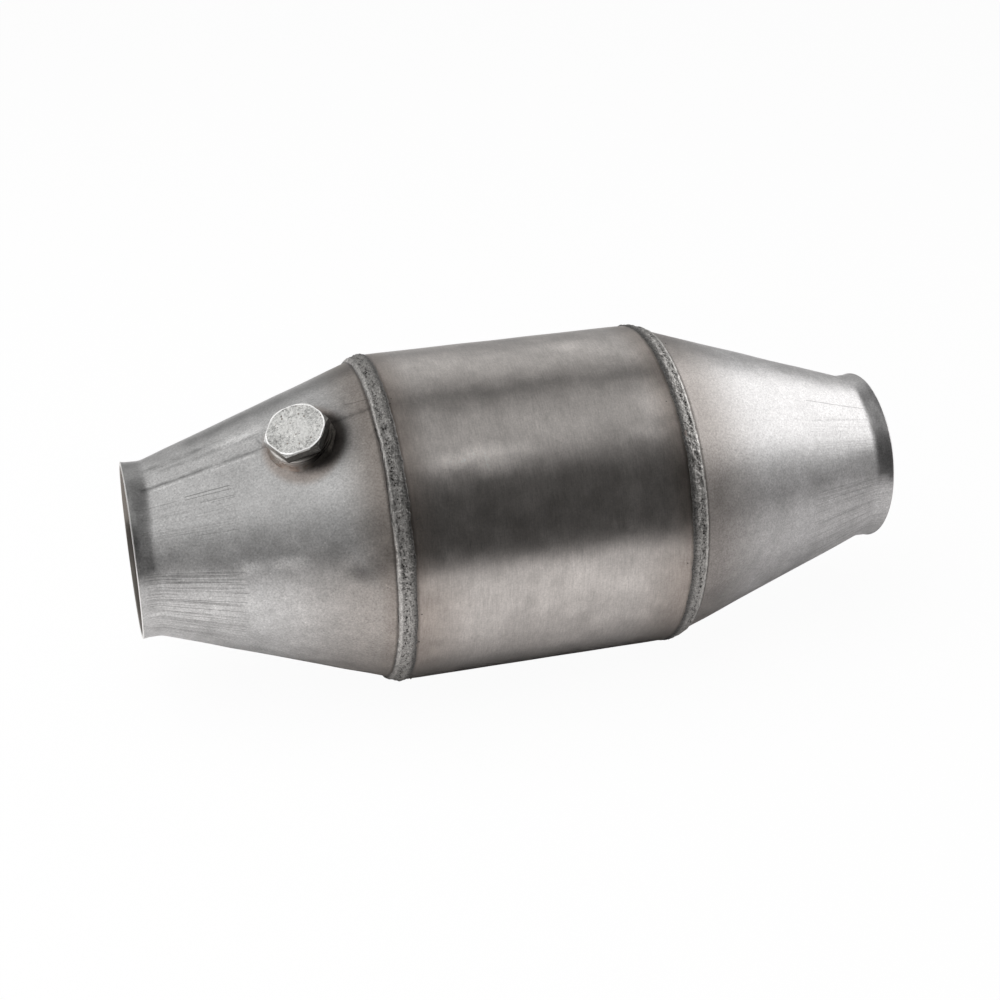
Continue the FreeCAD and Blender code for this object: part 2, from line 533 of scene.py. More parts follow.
@dataclass(frozen=True)
class CasingSteel:
    """Stainless tube, finely brushed round the axis, with cloudy tone, a heat tint by the beads, painted
    shadows at the beads' toes and patches of painted highlight and painted shade.
    """

    colour: Colour = (0.56, 0.527, 0.502)
    tint: Colour = (0.36, 0.315, 0.285)
    rough: float = 0.295
    least_rough: float = 0.285
    arc_radius: float = 65.0
    # Painted light: negative depths are painted highlights of the reflected lights, positive ones painted
    # shade bands, and the last one darkens the bottom as painted shade.
    patches: tuple[StainOrLightPatch, ...] = (
        StainOrLightPatch((-21.0, 44.5), (13.0, 3.4), 0.9, -0.62),
        StainOrLightPatch((-38.0, 45.5), (7.0, 3.0), 0.9, -0.40),
        StainOrLightPatch((47.0, 33.0), (7.0, 5.0), 0.9, -0.40),
        StainOrLightPatch((44.0, 43.0), (8.0, 3.0), 0.9, -0.35),
        StainOrLightPatch((4.0, 20.0), (40.0, 3.0), 0.9, 0.18),
        StainOrLightPatch((-28.0, 22.0), (24.0, 4.0), 0.9, 0.20),
        StainOrLightPatch((-18.5, 49.5), (9.0, 2.6), 0.9, -0.45),
        StainOrLightPatch((20.3, -2.4), (8.0, 4.0), 0.9, -0.30),
        StainOrLightPatch((0.0, 152.0), (400.0, 28.0), 0.60, 0.50),
    )

    def material(self) -> bpy.types.Material:
        """Builds the finish from shader nodes.

        Returns:
            The finished material.
        """
        material, board = new_board("casing_steel")
        spot = board.place()
        x, y, z = board.parts(spot)
        arc = (-y).clock(z) * self.arc_radius
        wavy = arc + 5.0 * (board.noise(board.scaled(spot, (1.0, 0.5, 0.5)), 7.0, 2.0, 0.6) - 0.5)
        lines = board.noise(board.scaled(spot, (1.0, 0.10, 0.10)), 0.42, 2.0, 0.6)
        grain = board.noise(spot, 0.7, 2.0, 0.6)
        bands = board.noise(board.scaled(spot, (1.0, 0.2, 0.2)), 5.0, 3.0, 0.6)
        clouds = board.noise(spot, 9.0, 4.0, 0.62)
        blooms = board.noise(board.scaled(spot, (0.7, 1.0, 1.0)), 32.0, 2.0, 0.5)
        toe = SIZES.casing_end - SIZES.bead_on_casing
        # Darker towards the bottom, near the beads.
        lower_darkening = abs(x).step(toe - 26.0, toe + 2.0) * z.step(25.0, -5.0)
        tinted = abs(x).step(toe - 13.0, toe + 2.0).most(lower_darkening)
        # Painted shadow in the crease where the bead meets the tube.
        toe_shadow_line = abs(x).step(toe - 1.3, toe + 0.1)
        shade = (1 + 0.50 * (lines - 0.5)) * (1 + 0.50 * (grain - 0.5)) * (1 + 0.25 * (bands - 0.5))
        shade = shade * (1 + 0.62 * (clouds - 0.5)) * (1 + 0.40 * (blooms - 0.5))
        # Painted highlights and painted shade from the patches.
        for painted_patch in self.patches:
            shade = shade * (1 - painted_patch.mask(x, wavy, self.arc_radius))
        colour = board.mixed(tinted, self.colour, self.tint)
        colour = board.shaded(colour, shade * (1 - 0.45 * toe_shadow_line))
        rough = self.rough + 0.08 * (clouds - 0.5) + 0.10 * (bands - 0.5) + 0.04 * tinted
        normal = board.bump(blooms, 0.08)
        normal = board.bump(lines, 0.010, normal)
        board.metal(colour, rough.most(self.least_rough), normal)
        return material


@dataclass(frozen=True)
class ConeSteel:
    """Pressed stainless sheet with a satin grain, draw marks, scratches and a heat tint by the bead, under
    painted shade and painted highlights.
    """

    name: str
    end: End
    scratches: tuple[ScratchOrShadeBand, ...]
    # Patches multiplied into the colour: painted shadows and painted shade, and painted highlights where
    # the depth is negative.
    stains_and_painted_light: tuple[ScratchOrShadeBand | StainOrLightPatch, ...] = ()
    scorches: tuple[StainOrLightPatch, ...] = ()
    streaks: tuple[ScratchOrShadeBand, ...] = ()
    tint_reach: float = 19.0
    # How strongly the cone darkens towards the bottom near the bead.
    lower_darkening: float = 0.0
    mark_depth: float = 0.62
    colour: Colour = (0.608, 0.597, 0.583)
    tint: Colour = (0.335, 0.295, 0.265)
    scorch: Colour = (0.36, 0.275, 0.225)
    # Painted shade on the inside of the sheet.
    inside: Colour = (0.24, 0.22, 0.20)
    # Painted highlight on the rim's cut edge.
    edge: Colour = (0.93, 0.92, 0.90)
    rough: float = 0.40
    least_rough: float = 0.30
    arc_radius: float = 45.0

    def material(self) -> bpy.types.Material:
        """Builds the finish from shader nodes.

        Returns:
            The finished material.
        """
        material, board = new_board(self.name)
        spot = board.place()
        x, y, z = board.parts(spot)
        reach = x * self.end.value
        arc = (-y).clock(z) * self.arc_radius
        grain = board.noise(spot, 0.75, 2.0, 0.7)
        clouds = board.noise(spot, 13.0, 4.0, 0.62)
        patches = board.noise(spot, 4.0, 3.0, 0.65)
        flecks = board.cells(spot, 2.4).step(0.14, 0.05) * patches.step(0.45, 0.62)
        toe = SIZES.cone_start + SIZES.bead_on_cone
        # Darker towards the bottom, near the bead.
        lower_darkening = reach.step(toe + 52.0, toe + 4.0) * z.step(28.0, 2.0) * self.lower_darkening
        tinted = reach.step(toe + self.tint_reach, toe + 1.0).most(lower_darkening)
        # Painted shadow in the crease where the bead meets the cone.
        toe_shadow_line = reach.step(toe + 1.1, toe + 0.1)
        shade = (1 + 1.05 * (grain - 0.5)) * (1 + 0.70 * (clouds - 0.5)) * (1 + 0.42 * (patches - 0.5))
        colour = board.mixed(tinted * 0.9, self.colour, self.tint)
        for scorch in self.scorches:
            colour = board.mixed(scorch.mask(reach, arc, self.arc_radius), colour, self.scorch)
        colour = board.shaded(colour, shade * (1 + 0.35 * flecks) * (1 - 0.5 * toe_shadow_line))
        cuts = self._draw_marks(board, reach, arc)
        for scratch in self.scratches:
            cuts = cuts.most(scratch.mask(reach, arc, self.arc_radius))
        # Real draw marks and scratches, then painted shade and painted highlights from the patches, and the
        # real streaks.
        marks_and_painted_shade = 1 - 0.6 * cuts
        # Painted shade and painted highlights.
        for stain_or_light_patch in self.stains_and_painted_light:
            marks_and_painted_shade = marks_and_painted_shade * (1 - stain_or_light_patch.mask(reach, arc, self.arc_radius))
        broken = board.noise(board.scaled(spot, (0.35, 1.0, 1.0)), 3.6, 3.0, 0.6).step(0.30, 0.62)
        for streak in self.streaks:
            marks_and_painted_shade = marks_and_painted_shade * (1 - streak.mask(reach, arc, self.arc_radius) * broken)
        colour = board.shaded(colour, marks_and_painted_shade)
        colour = self._dressed_edge(board, colour, reach, (y * y + z * z).root())
        rough = self.rough + 0.24 * (clouds - 0.5) + 0.12 * (patches - 0.5) + 0.10 * cuts
        rough = rough - 0.09 * reach.step(SIZES.cone_end - 2.0, SIZES.cone_end + 2.0)
        normal = board.bump(clouds, 0.10)
        normal = board.bump(grain, 0.030, normal)
        normal = board.bump(1 - cuts, 0.05, normal)
        board.metal(colour, rough.most(self.least_rough), normal)
        return material

    def _dressed_edge(self, board: Board, colour: Socket, reach: Socket, radius: Socket) -> Socket:
        """The colour with a painted highlight on the rim's cut edge and painted shade inside.

        Args:
            board: The material's board.
            colour: The colour of the outer side.
            reach: Distance from the casing's middle.
            radius: Distance from the gas path's axis.

        Returns:
            The colour of the whole sheet.
        """
        line = SIZES.skirt_radius - (reach - SIZES.cone_start) * math.tan(SIZES.cone_angle)
        depth = line.most(SIZES.neck_radius) - radius
        colour = board.mixed(depth.step(0.45, 0.8), colour, self.inside)
        at_rim = reach.step(SIZES.rim - 0.5, SIZES.rim - 0.2) * depth.step(0.75, 0.5)
        return board.mixed(at_rim, colour, self.edge)

    def _draw_marks(self, board: Board, reach: Socket, arc: Socket) -> Socket:
        """Faint lines that the press drew along the cone, strongest near the collar on the front.

        Args:
            board: The material's board.
            reach: Distance from the casing's middle.
            arc: Distance round the axis.

        Returns:
            How deep each point is, from 0 to 1.
        """
        lane = board.noise(board.joined(reach * 0.012, arc, 0.0), 0.46, 1.0, 0.4)
        ragged = board.noise(board.joined(0.0, arc, 7.0), 0.9, 0.0)
        start = SIZES.rim - 1.0
        stop = 111.5 + 5.0 * ragged
        span = reach.step(start, start - 3.0) * (reach - stop).step(0.0, 0.8)
        low = arc.step(58.5, 60.5) * arc.step(106.0, 95.0)
        high = arc.step(26.0, 31.0) * arc.step(52.0, 44.0) * 0.35
        return lane.step(0.51, 0.63) * span * low.most(high) * self.mark_depth


@dataclass(frozen=True)
class WeldMetal:
    """Rough weld metal: grainy and pitted in the middle, with painted shade at both toes and in its
    hollows, and a lip by the cone painted lighter as a highlight.
    """

    name: str = "weld_metal"
    colour: Colour = (0.50, 0.485, 0.465)
    dark: Colour = (0.07, 0.065, 0.06)
    rough: float = 0.42

    def material(self) -> bpy.types.Material:
        """Builds the finish from shader nodes.

        Returns:
            The finished material.
        """
        material, board = new_board(self.name)
        spot = board.place()
        x, _, _ = board.parts(spot)
        start = SIZES.casing_end - SIZES.bead_on_casing
        width = SIZES.cone_start + SIZES.bead_on_cone - start
        across = (abs(x) - start) / width
        grain = board.noise(spot, 0.62, 3.0, 0.75)
        specks = board.noise(spot, 0.34, 1.0, 0.6)
        streaks = board.noise(board.scaled(spot, (1.0, 0.36, 0.36)), 1.15, 3.0, 0.65)
        trough = across.step(0.44, 0.54) * across.step(0.76, 0.68)
        middle = across.step(0.22, 0.36) * across.step(0.84, 0.74)
        lip = across.step(0.76, 0.84) * streaks.step(0.36, 0.50)
        pits = board.cells(spot, 1.15).step(0.42, 0.16) * (0.25 + 0.75 * trough) * (1 - 0.8 * lip)
        # Painted shade in the hollows of the streaks.
        hollows = streaks.step(0.47, 0.37) * middle
        # Darker at both toes: painted shade in the creases, and beside the casing partly the bead's own
        # darker metal.
        toe_shade = across.step(0.40, 0.04).most(across.step(0.93, 1.02))
        colour = board.mixed(pits, self.colour, self.dark)
        shade = (1 + (2.6 - 1.0 * lip) * (grain - 0.5)) * (1 + 1.2 * (specks - 0.5))
        # The lip is painted lighter, a painted highlight on its crest.
        shade = shade * (0.80 + 0.35 * lip) * (1 - 0.55 * hollows) * (1 - 0.66 * toe_shade)
        colour = board.shaded(colour, shade)
        rough = self.rough + 0.25 * (streaks - 0.5) + 0.15 * pits - 0.08 * lip
        normal = board.bump(streaks, 0.30)
        normal = board.bump(grain, 0.10, normal)
        normal = board.bump(1 - pits, 0.12, normal)
        board.metal(colour, rough.most(LEAST_ROUGH), normal)
        return material


@dataclass(frozen=True)
class BossWeldMetal:
    """The small weld round the boss, browned by the heat, with painted shade on the side away from the
    light.
    """

    middle: Triple
    shade_direction: Triple
    colour: Colour = (0.64, 0.58, 0.53)
    straw: Colour = (0.52, 0.42, 0.36)
    painted_shade: Colour = PAINTED_SHADE

    def material(self) -> bpy.types.Material:
        """Builds the finish from shader nodes.

        Returns:
            The finished material.
        """
        material, board = new_board("boss_weld_metal")
        spot = board.place()
        grain = board.noise(spot, 0.5, 3.0, 0.7)
        heat = board.noise(spot, 3.0, 2.0, 0.5)
        away = board.away(spot, self.middle)
        # Painted shade on the side away from the light.
        shaded_side = board.dot(away, self.shade_direction).step(0.0, PAINTED_SHADE_REACH)
        colour = board.mixed(heat.step(0.40, 0.62), self.colour, self.straw)
        colour = board.mixed(shaded_side, colour, self.painted_shade)
        colour = board.shaded(colour, 0.7 + 0.5 * grain)
        board.metal(colour, 0.40 + 0.2 * grain, board.bump(grain, 0.08))
        return material


@dataclass(frozen=True)
class PlugSteel:
    """Tumbled, pitted pale steel with a few brown specks, with painted highlights on its edges and painted
    shade on its sides away from the light.
    """

    axis: Triple
    foot: Triple
    flats: tuple[Triple, ...]
    face_middle: Triple
    top: float
    face_radius: float
    half_flats: float
    shade_direction: Triple
    colour: Colour = (0.93, 0.925, 0.90)
    # Colour of the painted highlights and glints.
    edge: Colour = (0.98, 0.975, 0.96)
    # Colour of the plug's own brown specks.
    stain_or_light_patch: Colour = (0.22, 0.165, 0.12)
    # Painted lit and shaded colours of the head's sides.
    side: Colour = (0.78, 0.76, 0.73)
    shaded_side: Colour = (0.17, 0.165, 0.155)
    rough: float = 0.45

    def material(self) -> bpy.types.Material:
        """Builds the finish from shader nodes.

        Returns:
            The finished material.
        """
        material, board = new_board("plug_steel")
        spot = board.place()
        away = board.away(spot, self.foot)
        height = board.dot(away, self.axis)
        radius = (board.dot(away, away) - height * height).root()
        grain = board.noise(spot, 1.5, 4.0, 0.75)
        fine = board.noise(spot, 0.5, 2.0, 0.6)
        pits = board.cells(spot, 1.6).step(0.26, 0.06)
        # Only the plug's own brown specks.
        stains_and_painted_light = board.cells(spot, 2.2).step(0.22, 0.10) * board.noise(spot, 4.0).step(0.44, 0.54)
        off = board.away(spot, self.face_middle)
        rise = board.dot(off, self.axis)
        gap = self.face_radius - (board.dot(off, off) - rise * rise).root()
        for flat in self.flats:
            gap = gap.least(self.half_flats - abs(board.dot(away, flat)))
        toward = board.dot(away, self.shade_direction)
        # Bevels and sides away from the light take the painted shade; the face's edge and the lit bevels
        # take a painted highlight.
        bevel = gap.step(0.06, -0.12)
        on_side = (bevel * toward.step(2.0, 5.5)).most(height.step(self.top - 1.0, self.top - 1.2))
        at_edge = gap.step(0.46, 0.20) * gap.step(-0.30, -0.05)
        at_edge = at_edge * height.step(self.top - 0.6, self.top - 0.3)
        at_edge = at_edge.most(0.6 * bevel * (1 - on_side) * toward.step(0.0, -5.0))
        rings = board.noise(board.joined(radius, 0.0, 0.0), 1.3, 2.0, 0.6)
        middle = (radius + 5.0 * (board.noise(spot, 5.0, 2.0, 0.5) - 0.5)).step(7.5, 3.5)
        dull = board.noise(spot, 6.0, 2.0, 0.5).step(0.42, 0.62)
        mottle = 1.0 + 2.3 * (grain - 0.5) + 1.0 * (fine - 0.5) + 0.5 * (rings - 0.5)
        mottle = mottle + 0.24 * middle - 0.24 * pits - 0.22 * dull
        # A painted gradient of light across the face.
        mottle = mottle + 0.12 * toward.step(-self.half_flats, self.half_flats) - 0.04
        # Painted glints.
        sparkle = (fine + 0.6 * grain).step(0.92, 1.04) * middle.most(0.35)
        colour = board.shaded(self.colour, mottle.most(0.22).least(1.07))
        colour = board.mixed(stains_and_painted_light * 0.8, colour, self.stain_or_light_patch)
        # Side faces painted lit on one side and shaded on the other.
        worn_and_shaded = board.mixed(toward.step(-7.0, 3.0), self.side, self.shaded_side)
        worn_and_shaded = board.shaded(worn_and_shaded, 1 + 1.3 * (grain - 0.5) + 0.6 * (fine - 0.5))
        colour = board.mixed(on_side, colour, worn_and_shaded)
        bright = at_edge.most(sparkle * (1 - on_side))
        colour = board.mixed(bright * 0.9, colour, self.edge)
        normal = board.bump(grain, 0.16)
        normal = board.bump(1 - pits, 0.12, normal)
        normal = board.bump(fine, 0.05, normal)
        rough = self.rough + 0.2 * (grain - 0.5) + 0.12 * pits - 0.12 * at_edge
        # Less metallic under the painted highlights, so that they stay bright.
        board.metal(colour, rough.most(LEAST_ROUGH), normal, 1 - 0.7 * bright)
        return material


@dataclass(frozen=True)
class TurnedSteel:
    """Plain turned steel with fine tool marks and painted shade on the side away from the light, for the
    boss and the sealing ring.
    """

    name: str
    colour: Colour
    rough: float
    middle: Triple
    shade_direction: Triple
    painted_shade: Colour = PAINTED_SHADE

    def material(self) -> bpy.types.Material:
        """Builds the finish from shader nodes.

        Returns:
            The finished material.
        """
        material, board = new_board(self.name)
        spot = board.place()
        grain = board.noise(spot, 0.7, 3.0, 0.6)
        clouds = board.noise(spot, 4.0, 3.0, 0.5)
        away = board.away(spot, self.middle)
        # Painted shade on the side away from the light.
        shaded_side = board.dot(away, self.shade_direction).step(0.0, PAINTED_SHADE_REACH)
        colour = board.mixed(shaded_side, self.colour, self.painted_shade)
        colour = board.shaded(colour, 0.75 + 0.3 * grain + 0.2 * clouds)
        rough = self.rough + 0.2 * (clouds - 0.5)
        board.metal(colour, rough, board.bump(grain, 0.05))
        return material


@dataclass(frozen=True)
class CoatedFoil:
    """Thin foil under a matt, slightly uneven washcoat."""

    name: str
    colour: Colour
    bare: Colour = (0.80, 0.78, 0.74)

    def material(self) -> bpy.types.Material:
        """Builds the finish from shader nodes.

        Returns:
            The finished material.
        """
        material, board = new_board(self.name)
        spot = board.place()
        grain = board.noise(spot, 0.5, 3.0, 0.65)
        coat = board.noise(spot, 4.5, 3.0, 0.6)
        # Where the coat is worn through to bare foil.
        worn_and_shaded = coat.step(0.60, 0.75)
        colour = board.mixed(worn_and_shaded, self.colour, self.bare)
        colour = board.shaded(colour, 0.72 + 0.35 * grain + 0.2 * coat)
        normal = board.bump(grain, 0.05)
        board.metal(colour, 0.62 - 0.2 * worn_and_shaded, normal, 0.05 + 0.6 * worn_and_shaded)
        return material


# Sub-assemblies


def fit(piece: bpy.types.Object, node: str, material: bpy.types.Material) -> None:
    """Gives a piece its finish and puts it in the place of a solid of the frame.

    Args:
        piece: The new mesh object.
        node: The solid that it stands for.
        material: Its finish.
    """
    piece.data.materials.append(material)
    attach(piece, "root")
    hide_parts(node)
    LOG.info("%s stands for %s with %d faces", piece.name, node, len(piece.data.polygons))


@dataclass
class Casing:
    """The straight tube, drawn in a little where the beads cooled."""

    sizes: Sizes = SIZES
    finish: CasingSteel = CasingSteel()
    turn: int = 360
    rows: int = 74
    edge: float = 0.3
    shrink: float = 0.10
    wave: Ripple = Ripple(seed=11, height=0.022, longest=70.0, shortest=18.0, radius=65.0)

    def build(self) -> None:
        """Builds and dresses the tube."""
        s = self.sizes
        end, outer, bore = s.casing_end, s.casing_radius, s.casing_radius - s.casing_wall
        span = np.linspace(-end + self.edge, end - self.edge, self.rows)
        station = np.concatenate([[-end], span, [end, end, end - self.edge, -end + self.edge, -end]])
        radius = np.concatenate([
            [outer - self.edge], np.full(self.rows, outer),
            [outer - self.edge, bore + self.edge, bore, bore, bore + self.edge],
        ])
        clock = np.linspace(0, FULL_TURN, self.turn, endpoint=False)[None, :]
        station, radius = station[:, None], radius[:, None]
        outside = (radius > bore + 2 * self.edge) & (abs(station) < end)
        drawn = self.shrink * fade(abs(station), end - 9.0, end)
        swell = self.wave(station, clock) * fade(end - abs(station), 1.0, 12.0)
        points = about_axis(station, radius + outside * (swell - drawn), clock)
        fit(make_ring("casing_tube", points), "casing", self.finish.material())


@dataclass
class Cone:
    """A pressed cone with its skirt, collar and slightly flared rim."""

    end: End
    finish: ConeSteel
    wave: Ripple
    out_of_round: float
    sizes: Sizes = SIZES
    turn: int = 340
    port_hole_radius: float = 0.0

    def build(self) -> None:
        """Builds and dresses the cone."""
        s = self.sizes
        outer = self._side(0.0)
        inner = self._side(s.cone_wall)
        lip = self._lip(outer[-1], inner[-1])
        section = np.vstack([outer[:-1], lip, inner[-2::-1]])
        station, radius = section[:, 0][:, None], section[:, 1][:, None]
        clock = np.linspace(0, FULL_TURN, self.turn, endpoint=False)[None, :]
        clear = fade(station, s.cone_start + 3.0, s.cone_start + 14.0)
        swell = self.wave(station, clock) * clear * (1 - 0.6 * fade(station, s.cone_end - 6, s.rim))
        at_rim = fade(station, s.cone_end, s.rim)
        swell = swell + at_rim * self.out_of_round * np.cos(2 * clock + 0.7)
        points = about_axis(station * self.end.value, radius + swell, clock)
        piece = make_ring(f"{self.end.name.lower()}_cone_sheet", points)
        if self.port_hole_radius:
            self._cut_port_hole(piece)
        name = f"{self.end.name.lower()}_cone"
        fit(piece, name, self.finish.material())

    def _side(self, depth: float) -> np.ndarray:
        """One side of the sheet, from skirt to rim.

        Args:
            depth: How far below the outer side it lies.

        Returns:
            Stations and radii, one pair to a row.
        """
        s = self.sizes
        half_bend = s.cone_angle / 2
        skirt, neck = s.skirt_radius - depth, s.neck_radius - depth
        start = s.cone_start - depth * math.tan(half_bend)
        end = s.cone_end - depth * math.tan(half_bend)
        arc = s.collar_bend_radius + depth
        reach = arc * math.tan(half_bend)
        flare = math.atan2(s.flare_rise, s.flare_length)
        flare_start = s.rim - s.flare_length + depth * math.tan(flare / 2)
        rows = [(s.skirt_end, skirt), (s.skirt_end + 2.0, skirt), (start - 1.0, skirt), (start, skirt)]
        first = start + 0.8
        last = end - reach * math.cos(s.cone_angle)
        for station in np.linspace(first, last, 44 if depth == 0 else 24):
            rows.append((station, skirt - (station - start) * math.tan(s.cone_angle)))
        for turned in np.linspace(0, s.cone_angle, 9)[1:]:
            angle = s.cone_angle - turned
            rows.append((end + reach - arc * math.sin(angle), neck + arc * (1 - math.cos(angle))))
        for station in np.linspace(end + reach, flare_start, 5)[1:]:
            rows.append((station, neck))
        for station in np.linspace(flare_start, s.rim, 6)[1:]:
            part = (station - flare_start) / (s.rim - flare_start)
            rows.append((station, neck + (s.rim - flare_start) * math.tan(flare) * part**1.3))
        return np.array(rows)

    @staticmethod
    def _lip(outer: np.ndarray, inner: np.ndarray) -> np.ndarray:
        """The cut edge of the sheet, slightly rounded.

        Args:
            outer: The last station and radius of the outer side.
            inner: The same of the inner side.

        Returns:
            Stations and radii from the one to the other.
        """
        roundness = 0.45
        rows = []
        for part in (0.0, 0.06, 0.2, 0.38, 0.58, 0.78, 0.93, 1.0):
            bulge = roundness * math.sqrt(max(0.0, 1 - (2 * part - 1) ** 2))
            rows.append(outer + (inner - outer) * part + np.array([bulge - roundness, 0.0]))
        return np.array(rows)

    def _cut_port_hole(self, piece: bpy.types.Object) -> None:
        """Cuts the round hole in which the boss sits.

        Args:
            piece: The cone's sheet.
        """
        port = PortFrame()
        half_cut = 9.0
        rings = [(self.port_hole_radius, -half_cut), (self.port_hole_radius, half_cut)]
        tool = make_capped("port_hole_tool", port.turned(rings, 96))
        cut = piece.modifiers.new("port_hole", "BOOLEAN")
        cut.operation = "DIFFERENCE"
        cut.solver = "EXACT"
        cut.object = tool
        bpy.context.view_layer.update()
        holed = bpy.data.meshes.new_from_object(piece.evaluated_get(bpy.context.evaluated_depsgraph_get()))
        piece.modifiers.clear()
        piece.data = holed
        holed.materials.clear()
        holed.shade_smooth()
        holed.set_sharp_from_angle(angle=math.radians(35.0))
        bpy.data.objects.remove(tool)


@dataclass
class WeldBead:
    """The bead between a cone and the casing: uneven, grainy and pitted, with a steep edge on the cone."""

    end: End
    seed: int
    sizes: Sizes = SIZES
    turn: int = 1800
    across: int = 27
    crown: float = 1.05
    pits: int = 1300
    chain: int = 460
    profile: tuple[tuple[float, float], ...] = (
        (0.0, 0.0), (0.06, 0.30), (0.14, 0.55), (0.24, 0.80), (0.32, 0.96), (0.38, 1.0), (0.44, 0.95),
        (0.52, 0.84), (0.59, 0.79), (0.66, 0.82), (0.73, 0.94), (0.80, 1.03), (0.87, 1.0), (0.93, 0.84),
        (0.97, 0.55), (1.0, 0.0),
    )
    droplets: int = 16

    def build(self, material: bpy.types.Material) -> None:
        """Builds the bead and its spatter.

        Args:
            material: The weld metal.
        """
        s = self.sizes
        draw = np.random.default_rng(self.seed)
        clock = np.linspace(0, FULL_TURN, self.turn, endpoint=False)
        flat = np.zeros_like(clock)
        casing_toe = s.casing_end - s.bead_on_casing + self._wander(1, 0.16, 60.0, 9.0)(flat, clock)
        cone_toe = s.cone_start + s.bead_on_cone + self._wander(2, 0.15, 60.0, 10.0)(flat, clock)
        casing_toe = casing_toe + self._wander(6, 0.10, 7.0, 1.6)(flat, clock)
        cone_toe = cone_toe + self._wander(7, 0.08, 6.0, 1.6)(flat, clock)
        crown = self.crown * (1 + 0.10 * self._wander(3, 1.0, 60.0, 8.0)(flat, clock))
        part = np.linspace(0, 1, self.across)[:, None]
        station = casing_toe + (cone_toe - casing_toe) * part
        toe_radius = s.cone_radius(cone_toe)
        chord = s.casing_radius + (toe_radius - s.casing_radius) * part
        lean = np.clip(part + 0.035 * self._wander(5, 1.0, 40.0, 5.0)(flat, clock), 0, 1)
        held = part + (lean - part) * np.sin(math.pi * part)
        shape = np.interp(held, *np.array(self.profile).T)
        radius = chord + crown * shape
        lip = fade(part, 0.70, 0.80)
        rough = self._wander(4, 0.05, 3.0, 0.8, 70)(station, clock) * (1 - 0.4 * lip)
        rough = rough + self._wander(8, 0.085, 9.0, 2.8, 40)(station * 2.4, clock) * (1 - 0.5 * lip)
        grain = draw.normal(0.0, 0.034, radius.shape) * (1 - 0.45 * lip)
        inside = np.clip(np.sin(math.pi * part) * 2.2, 0, 1)
        radius = radius + (rough + grain) * inside - self._pits(draw, part, clock) * inside
        radius[0] -= 0.12
        radius[-1] -= 0.12
        root = s.skirt_radius - 0.04
        seat_station = np.array([s.cone_start, s.casing_end, s.casing_end])[:, None] + flat
        seat_radius = np.array([root, root, s.casing_radius - 0.35])[:, None] + flat
        station = np.vstack([station, seat_station])
        radius = np.vstack([radius, seat_radius])
        points = about_axis(station * self.end.value, radius, clock[None, :])
        piece = make_ring(f"{self.end.name.lower()}_bead", points, 60.0)
        self._add_spatter(piece, draw)
        fit(piece, f"{self.end.name.lower()}_weld", material)

    def _wander(self, step: int, height: float, longest: float, shortest: float, waves: int = 24) -> Ripple:
        """A ripple of this bead's own."""
        return Ripple(self.seed * 10 + step, height, longest, shortest, waves, 64.0)

    def _pits(self, draw: np.random.Generator, part: np.ndarray, clock: np.ndarray) -> np.ndarray:
        """Depths of the small pits over the bead's grid.

        Args:
            draw: The bead's random numbers.
            part: Rows of the grid, from 0 at the casing to 1 on the cone.
            clock: Columns of the grid.

        Returns:
            A depth for each point, in millimetres.
        """
        depth = np.zeros((len(part), len(clock)))
        s = self.sizes
        width = s.cone_start + s.bead_on_cone - s.casing_end + s.bead_on_casing
        pitch = FULL_TURN * 64.0 / len(clock)
        across = part[:, 0] * width
        for number in range(self.pits + self.chain):
            in_chain = number < self.chain
            middle = (draw.normal(0.58, 0.045) if in_chain else draw.random() * 0.78) * width
            column = int(draw.random() * len(clock))
            size = (0.34 if in_chain else 0.20) + 0.26 * draw.random() ** 2
            deep = size * ((0.45 if in_chain else 0.15) + 0.25 * draw.random())
            reach = int(size / pitch) + 2
            columns = np.arange(column - reach, column + reach + 1)
            apart = np.hypot(across[:, None] - middle, (columns - column)[None, :] * pitch) / size
            hollow = deep * np.clip(1 - apart**2, 0, 1)
            columns = columns % len(clock)
            depth[:, columns] = np.maximum(depth[:, columns], hollow)
        return depth

    def _add_spatter(self, piece: bpy.types.Object, draw: np.random.Generator) -> None:
        """Adds the small round droplets that landed on the casing and the cone by the bead.

        Args:
            piece: The bead.
            draw: The bead's random numbers.
        """
        s = self.sizes
        work = bmesh.new()
        work.from_mesh(piece.data)
        for number in range(self.droplets):
            clock = draw.random() * FULL_TURN
            size = 0.16 + 0.20 * draw.random() ** 2
            off = 0.5 + 3.0 * draw.random() ** 2
            if number % 4:
                station, radius = s.casing_end - s.bead_on_casing - off, s.casing_radius - 0.03
            else:
                station = s.cone_start + s.bead_on_cone + off
                radius = s.cone_radius(station)
            spot = about_axis(station * self.end.value, radius, clock) * MM
            turn = Matrix.Translation(Vector(spot)) @ Matrix.Diagonal((size * MM,) * 3).to_4x4()
            bmesh.ops.create_icosphere(work, subdivisions=2, radius=1.0, matrix=turn)
        for face in work.faces:
            face.smooth = True
        work.to_mesh(piece.data)
        work.free()


